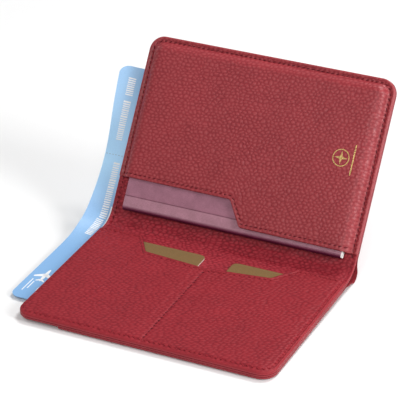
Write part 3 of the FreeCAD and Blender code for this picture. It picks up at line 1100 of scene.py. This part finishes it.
def cover_piece():
    reach = COVER_BEND + PASSPORT_END - PASSPORT_START - COVER / 2 - COVER_RADIUS
    xs = spaced(PASSPORT_LEFT, PASSPORT_RIGHT, 0.9)
    ends = far_edge(xs, reach, PASSPORT_LEFT, PASSPORT_RIGHT, 3.0)
    bend = np.concatenate([[0, 0.35], np.linspace(COVER_STRAIGHT, COVER_BEND, 8),
                           np.arange(COVER_BEND + 0.4, 26, 0.4), np.arange(27, reach - 3, 4)])
    bend = np.concatenate([-bend[:0:-1], bend]) / (reach - EDGE_STEPS[-1])
    shares = np.concatenate([[0], (bend + 1) / 2, [1]])
    ys = rows(-ends, ends, 0, shares=shares)
    groove_run = COVER_BEND + PASSPORT_GROOVE - COVER / 2 - COVER_RADIUS

    def front(x, run, g):
        beside = np.minimum(x - PASSPORT_LEFT, PASSPORT_RIGHT - x)
        edge = np.minimum(beside, ends.max() - np.abs(run))
        return COVER / 2 - rounded(edge, 0.12) - 0.16 * groove(run - groove_run, 0.4)

    cuts = [*np.linspace(-COVER_BEND, COVER_BEND, 15), -30, 30]
    piece = slab("passport_cover_cloth", xs, ys, front, lambda x, run: -COVER / 2, cover_place,
                 BOOK_CLOTH, cut_y=cuts)
    return settle(piece, "passport", "passport_cover")


def pages_piece():
    bottom, top = PASSPORT_LEVELS[0] + COVER, PASSPORT_LEVELS[1] - COVER - 0.02
    left, right = PASSPORT_LEFT + 0.5, PASSPORT_RIGHT + 0.6
    xs = spaced(left, right, 3.0)
    ends = far_edge(xs, PASSPORT_END - 1.2, left, right, 3.0)
    start = PASSPORT_START + COVER
    ys = rows(np.full(len(xs), start), ends, 30)
    piece = slab("passport_page_block", xs, ys,
                 lambda x, y, g: top - rounded(np.minimum(y - start, panel_edge(x, y)), 0.8),
                 lambda x, y: bottom + rounded(y - start, 0.8), upper.place, PAPER,
                 cut_y=start + EDGE_STEPS)
    return settle(piece, "passport", "passport_pages")


def around(radius, turn):
    return MARK[0] + radius * math.cos(turn), MARK[1] + radius * math.sin(turn)


def foil_piece():
    """A compass star in a ring with a bar beside it, lying on the leather."""
    shapes = []
    inner, step = MARK_RADIUS - 0.5, math.pi / 24
    for k in range(48):
        here, there = k * step, (k + 1) * step
        shapes.append([around(MARK_RADIUS, here), around(MARK_RADIUS, there),
                       around(inner, there), around(inner, here)])
    for k in range(4):
        turn = k * math.pi / 2
        shapes.append([MARK, around(1.0, turn - math.pi / 4), around(3.6, turn),
                       around(1.0, turn + math.pi / 4)])
    left = MARK[0] + MARK_RADIUS + 1.8
    for y in np.arange(MARK[1] - 8, MARK[1] + 8, 1.0):
        shapes.append([(left, y), (left + 0.6, y), (left + 0.6, y + 1), (left, y + 1)])
    flat, quads, faces = join([prism(shape, -0.2, 0.05) for shape in shapes])
    flat[:, 2] += passport_top(flat[:, 0], flat[:, 1])
    piece = make_object("foil_star_mark", flat, upper.place, quads, faces, material=GOLD_FOIL)
    return settle(piece, "passport_side", "foil_emblem")


# ---- boarding pass ----
FREE_CURL, FREE_CURL_REACH = 4.6, 13.4      # how the free edge cuts the corner at the fold
TOP_CURL, TOP_CURL_FROM, TOP_CURL_TO = 6.0, 20, 84
MIDDLE_BOW, MIDDLE_BOW_AT, MIDDLE_BOW_REACH = 1.6, 32, 16
PUSH_IN = 3.2                        # the strip beside the wallet that is flat, so it can go in


def pass_lift(side, x, y):
    """The free part of the pass bends more gently than the wallet and curls up at its top."""
    free = np.clip((-x - PUSH_IN) / (-PASS_LEFT - PUSH_IN), 0, 1) ** 1.5
    lift = FREE_CURL * groove(y + HALF_SPINE, FREE_CURL_REACH)
    if side.sign > 0:
        bow = MIDDLE_BOW * groove(y - MIDDLE_BOW_AT, MIDDLE_BOW_REACH)
        lift = lift + TOP_CURL * smooth(TOP_CURL_FROM, TOP_CURL_TO, y) - bow
    return free * lift


def pass_place(side):
    return lambda x, y, h: side.place(x, y, PASS_LEVEL + h + pass_lift(side, x, y))


def pass_piece(side, name, length, body, nodes, material):
    xs = np.concatenate([spaced(PASS_LEFT, 4.0, 0.8)[:-len(EDGE_STEPS)],
                         spaced(4.0, PASS_RIGHT, 2.5)[len(EDGE_STEPS):]])
    ends = far_edge(xs, length, PASS_LEFT, PASS_RIGHT, PASS_CORNER)
    ys = rows(np.full(len(xs), -HALF_SPINE), ends, 70, NO_STEPS)
    piece = slab(name, xs, ys, lambda x, y, g: PASS_HALF, lambda x, y: -PASS_HALF,
                 pass_place(side), material, np.arange(PASS_LEFT, 8, 1.2),
                 [*np.arange(-6, 20, 1.0), *np.arange(20, length, 6.0)])
    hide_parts(*nodes)
    side.bend(piece, body, "pass_fold")
    return piece


def printed(side, name, shapes, body, material):
    """Thin printed shapes on the pass, each a list of flat (x, y) points."""
    low, high = PASS_HALF - 0.05, PASS_HALF + 0.035
    flat, quads, faces = join([prism(shape, low, high) for shape in shapes])
    piece = make_object(name, flat, pass_place(side), quads, faces, material=material)
    side.bend(piece, body, "pass_fold")
    return piece


def block(x0, x1, y0, y1):
    """A printed rectangle, with enough points along it to follow the bend."""
    across = np.linspace(x0, x1, math.ceil(abs(x1 - x0) / 1.5) + 1)
    ups = np.linspace(y0, y1, math.ceil(abs(y1 - y0) / 1.5) + 1)
    return ([(x0, y) for y in ups[:-1]] + [(x, y1) for x in across[:-1]]
            + [(x1, y) for y in ups[:0:-1]] + [(x, y0) for x in across[:0:-1]])


def code_row(left, right, start, finish, seed):
    """A plain row of thin bars of uneven width, where a pass has its print."""
    shapes, y, k = [], start, 0
    while y < finish:
        wide = 0.45 + 0.5 * float(scatter(np.float64(k), np.float64(seed), 1))
        shapes.append(block(left, right, y, y + wide))
        y += wide + 0.5
        k += 1
    return shapes


def aeroplane():
    """A plain aeroplane seen from above, its nose towards the fold."""
    x, nose, tail = -5.0, 48.4, 60.6
    body = []
    for t in np.linspace(0, 2 * math.pi, 20, endpoint=False):
        body.append((x + 0.95 * math.sin(t), (nose + tail) / 2 - (tail - nose) / 2 * math.cos(t)))
    shapes = [body]
    for way in (-1, 1):
        shapes.append([(x + way * 0.5, 52.6), (x + way * 5.4, 56.0), (x + way * 5.4, 57.2),
                       (x + way * 0.5, 55.6)][::way])
        shapes.append([(x + way * 0.4, 58.4), (x + way * 2.4, 60.0), (x + way * 2.4, 60.8),
                       (x + way * 0.4, 60.0)][::way])
    return shapes


def pass_prints():
    upper_bars = code_row(-8.3, -4.6, 36.3, 58.0, 3) + code_row(-8.3, -4.6, 60.7, 70.4, 4)
    printed(upper, "pass_upper_bars", upper_bars, "pass_back", WHITE_INK)
    printed(upper, "pass_fold_bars", code_row(-6.2, -2.5, -6.0, 24.2, 5), "pass_back", WHITE_INK)
    printed(lower, "pass_lower_bars", code_row(-6.9, -3.0, -5.6, 7.4, 8), "pass_front", WHITE_INK)
    picture = aeroplane() + [block(-9.5, -9.0, 59.5, 71.5), block(-7.8, -7.3, 61.6, 69.0),
                             block(-2.4, 3.0, 66.0, 69.5)]
    printed(lower, "pass_aeroplane", picture, "pass_front", WHITE_INK)
    dashes = [block(x, x + 1.1, 28.0, 28.25) for x in np.arange(PASS_LEFT + 0.6, -2.0, 1.9)]
    printed(upper, "pass_tear_line", dashes, "pass_back", GREY_INK)
    for side, body in ((lower, "pass_front"), (upper, "pass_back")):
        printed(side, "pass_" + side.label + "_window", [block(-1.6, -0.1, -HALF_SPINE, 0.5)],
                body, WHITE_INK)


# ---- materials in use ----
# Each leather's first colour is the creases' painted shade, its last the pebble tops' painted
# highlight.
LEATHER_INSIDE = leather("leather_inside", (0.14, 0.004, 0.010), (0.25, 0.0110, 0.021),
                         (0.345, 0.028, 0.040), 0.48, 0.28)
LEATHER_CARDS = leather("leather_cards", (0.165, 0.006, 0.013), (0.24, 0.0110, 0.0195),
                        (0.29, 0.020, 0.028), 0.54, 0.22)
LEATHER_PASSPORT = leather("leather_passport", (0.22, 0.014, 0.022), (0.28, 0.024, 0.032),
                           (0.345, 0.049, 0.056), 0.42, 0.38)
LEATHER_OUTSIDE = leather("leather_outside", (0.20, 0.011, 0.019), (0.265, 0.018, 0.028),
                          (0.32, 0.032, 0.042), 0.46, 0.32)
DARK_THREAD = thread_material("dark_thread", (0.12, 0.006, 0.014))
RED_THREAD = thread_material("red_thread", (0.33, 0.021, 0.032))
LINING_CLOTH = matt_material("lining_cloth", 0.8, (0.08, 0.01, 0.015), (0.13, 0.02, 0.03), 1500.0)
BOARD = matt_material("grey_board", 0.85, (0.38, 0.32, 0.24), (0.5, 0.43, 0.33), 700.0)
BOOK_CLOTH = cover_material()
PAPER = paper_material()
GOLD_CARD = card_material()
# Lit and shaded copies of one print: the upper leaf painted lighter than the lower one.
PASS_SHADED_LOWER = pass_material("pass_card_shaded_lower", (0.22, 0.42, 0.70), (0.21, 0.41, 0.69))
PASS_LIT_UPPER = pass_material("pass_card_lit_upper", (0.45, 0.73, 0.99), (0.30, 0.51, 0.76))
WHITE_INK = ink_material("white_ink", (0.86, 0.88, 0.90))
GREY_INK = ink_material("grey_ink", (0.32, 0.40, 0.50))
GOLD_FOIL = foil_material()

# ---- the wallet ----
for side in (lower, upper):
    facing_piece(side)
    shell_piece(side)
    slip_piece(side)
card_pocket_piece()
passport_pocket_piece()
card_lining_piece("left", CARD_RIM + 3.2, SEAM_X - 1.4)
card_lining_piece("right", SEAM_X + 1.4, WIDTH - CARD_RIM - 3.2)
passport_lining_piece()
edge_thread(lower, CARD_STITCH, rim_level(CARD_LINE, card_top), RED_THREAD)
edge_thread(upper, PASSPORT_STITCH, rim_level(PASSPORT_LINE, passport_top), DARK_THREAD)
flat_thread("card_mouth_stitches", lower, hem_line(CARD_LINE, 3.4), card_top,
            "card_pocket_mouth_thread", RED_THREAD)
flat_thread("card_seam_stitches", lower, [(SEAM_X, SEAM_START + 2.5), (SEAM_X, LENGTH - 3)],
            card_top, "card_pocket_seam_thread", DARK_THREAD)
flat_thread("passport_mouth_stitches", upper, hem_line(PASSPORT_LINE, 4.2), passport_top,
            "passport_pocket_mouth_thread", DARK_THREAD)
card_piece("gold_card_left", CARD_LEFTS[0], "left_card", "card_left")
card_piece("gold_card_right", CARD_LEFTS[1], "right_card", "card_right")
cover_piece()
pages_piece()
foil_piece()
pass_piece(lower, "pass_front_leaf", 78.2, "pass_front", ["pass_lower"], PASS_SHADED_LOWER)
pass_piece(upper, "pass_back_leaf", 76.4, "pass_back", ["pass_upper", "pass_spine"], PASS_LIT_UPPER)
pass_prints()

for node in ("lower_stiffener", "upper_stiffener"):
    frame["nodes"][node].data.materials.clear()
    frame["nodes"][node].data.materials.append(BOARD)
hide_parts("spine_facing")
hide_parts("spine_shell")
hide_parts("spine_slip_pocket")


# ---- floor, light and camera ----
def floor():
    mesh = bpy.data.meshes.new("floor")
    half = 3.0
    mesh.from_pydata([(-half, -half, 0), (half, -half, 0), (half, half, 0), (-half, half, 0)],
                     [], [(0, 1, 2, 3)])
    piece = bpy.data.objects.new("floor", mesh)
    bpy.context.scene.collection.objects.link(piece)
    m = Nodes("pale_floor", 0.9, (0.84, 0.84, 0.84))
    m.shader.inputs["Specular IOR Level"].default_value = 0.1
    mesh.materials.append(m.material)
    piece.location.z = -0.0002


def softbox(name, position, target, size, power):
    data = bpy.data.lights.new(name, "AREA")
    data.shape = "RECTANGLE"
    data.size, data.size_y = size
    data.energy = power
    lamp = bpy.data.objects.new(name, data)
    bpy.context.scene.collection.objects.link(lamp)
    lamp.location = position
    lamp.rotation_euler = (Vector(target) - Vector(position)).to_track_quat("-Z", "Y").to_euler()


floor()
middle = (0.0, 0.03, 0.03)
softbox("high_back", (0.25, 0.65, 1.1), middle, (0.4, 0.4), 10.2)
softbox("front_high", (0.3, -1.05, 0.9), middle, (0.8, 0.5), 7.8)
softbox("side_right", (1.05, -0.1, 0.55), middle, (0.3, 0.5), 9.0)
softbox("side_left", (-1.0, 0.1, 0.7), middle, (0.6, 0.6), 2.5)
world = bpy.data.worlds.new("studio")
world.use_nodes = True
world.node_tree.nodes["Background"].inputs["Color"].default_value = (1, 1, 1, 1)
world.node_tree.nodes["Background"].inputs["Strength"].default_value = 0.24
bpy.context.scene.world = world
bpy.context.scene.view_settings.view_transform = "Standard"
bpy.context.scene.view_settings.look = "None"

camera_data = bpy.data.cameras.new("camera")
camera_data.sensor_width = 36.0
camera_data.lens = 195.4
camera_data.clip_end = 20.0
camera = bpy.data.objects.new("camera", camera_data)
bpy.context.scene.collection.objects.link(camera)
azimuth, elevation, roll = (math.radians(a) for a in (25.44, 28.23, -0.135))
back = Vector((math.sin(azimuth) * math.cos(elevation), -math.cos(azimuth) * math.cos(elevation),
               math.sin(elevation)))
turn = (-back).to_track_quat("-Z", "Y").to_matrix() @ Matrix.Rotation(roll, 3, "Z")
camera.matrix_world = Matrix.Translation((0.438714, -0.911128, 0.580954)) @ turn.to_4x4()
bpy.context.scene.camera = camera
